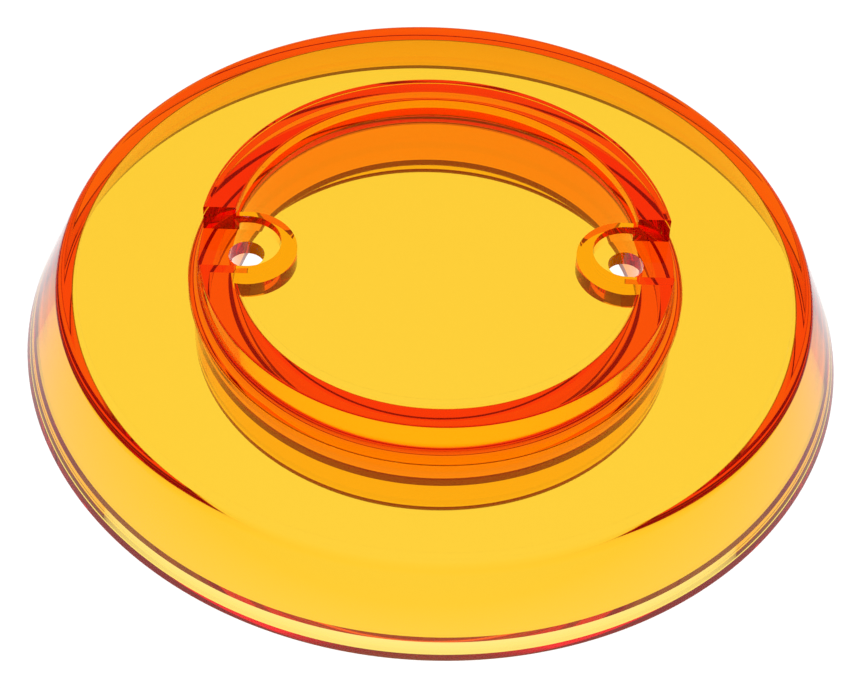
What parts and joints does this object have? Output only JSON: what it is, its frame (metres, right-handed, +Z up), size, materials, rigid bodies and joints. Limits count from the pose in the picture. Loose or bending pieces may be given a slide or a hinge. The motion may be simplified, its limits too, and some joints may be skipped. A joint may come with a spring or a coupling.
{
  "type": "lamp cap",
  "caption": "Clear amber round lamp cap with a flared skirt, a central collar with one half of its rim raised, a flush window and two sunken screw cups.",
  "frame": {"origin": "centre of the plane that the skirt and the locating lip rest on", "axes": "+Z up through the window, +X along the line of the screw holes, +Y towards the higher half of the collar's rim"},
  "size_m": [0.095, 0.095, 0.0157],
  "materials": {
    "amber_plate": "clear amber, polished",
    "amber_collar": "clear amber, polished, deep where the wall is seen along its height"
  },
  "bodies": {
    "root": {"cover_plate": "amber_plate", "outer_skirt": "amber_plate", "upper_collar": "amber_collar", "raised_half_rim": "amber_collar", "seat_ring": "amber_collar", "locating_sleeve": "amber_collar", "centre_window": "amber_plate", "screw_cup_left": "amber_collar", "screw_cup_right": "amber_collar"}
  },
  "joints": []
}
